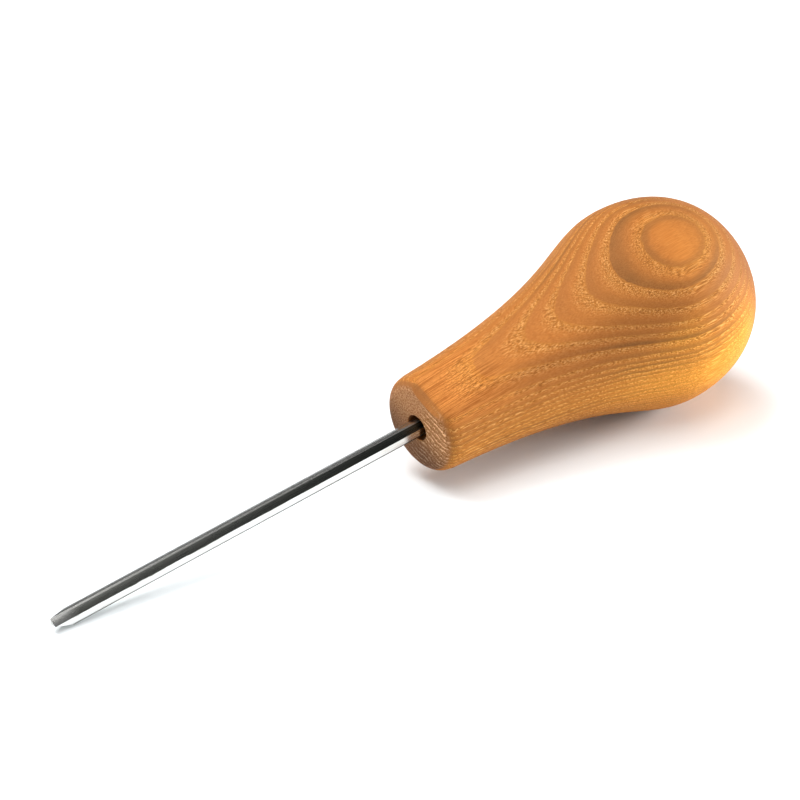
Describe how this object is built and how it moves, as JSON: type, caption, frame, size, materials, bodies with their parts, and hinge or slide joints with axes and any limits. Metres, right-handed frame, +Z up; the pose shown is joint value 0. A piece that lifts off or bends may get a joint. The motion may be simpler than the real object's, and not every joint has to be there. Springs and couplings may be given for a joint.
{
  "type": "palm v-tool",
  "caption": "Palm-pushed wood-carving V-tool: pear-shaped turned ash handle with a flat on its neck, and a thin hexagonal steel blade ground to a V at its tip.",
  "frame": {"origin": "on the table the tool lies on, under the middle of its box", "axes": "+X along the tool from the blade's tip to the handle's bulb, +Z up from the table"},
  "size_m": [0.1662, 0.042, 0.0421],
  "materials": {
    "oiled_ash": "oiled, satin",
    "tool_steel": "ground, with polished lower faces",
    "set_adhesive": "set epoxy, hidden in the bore"
  },
  "bodies": {
    "root": {"handle": "oiled_ash", "blade": "tool_steel", "tang_adhesive": "set_adhesive"}
  },
  "joints": []
}
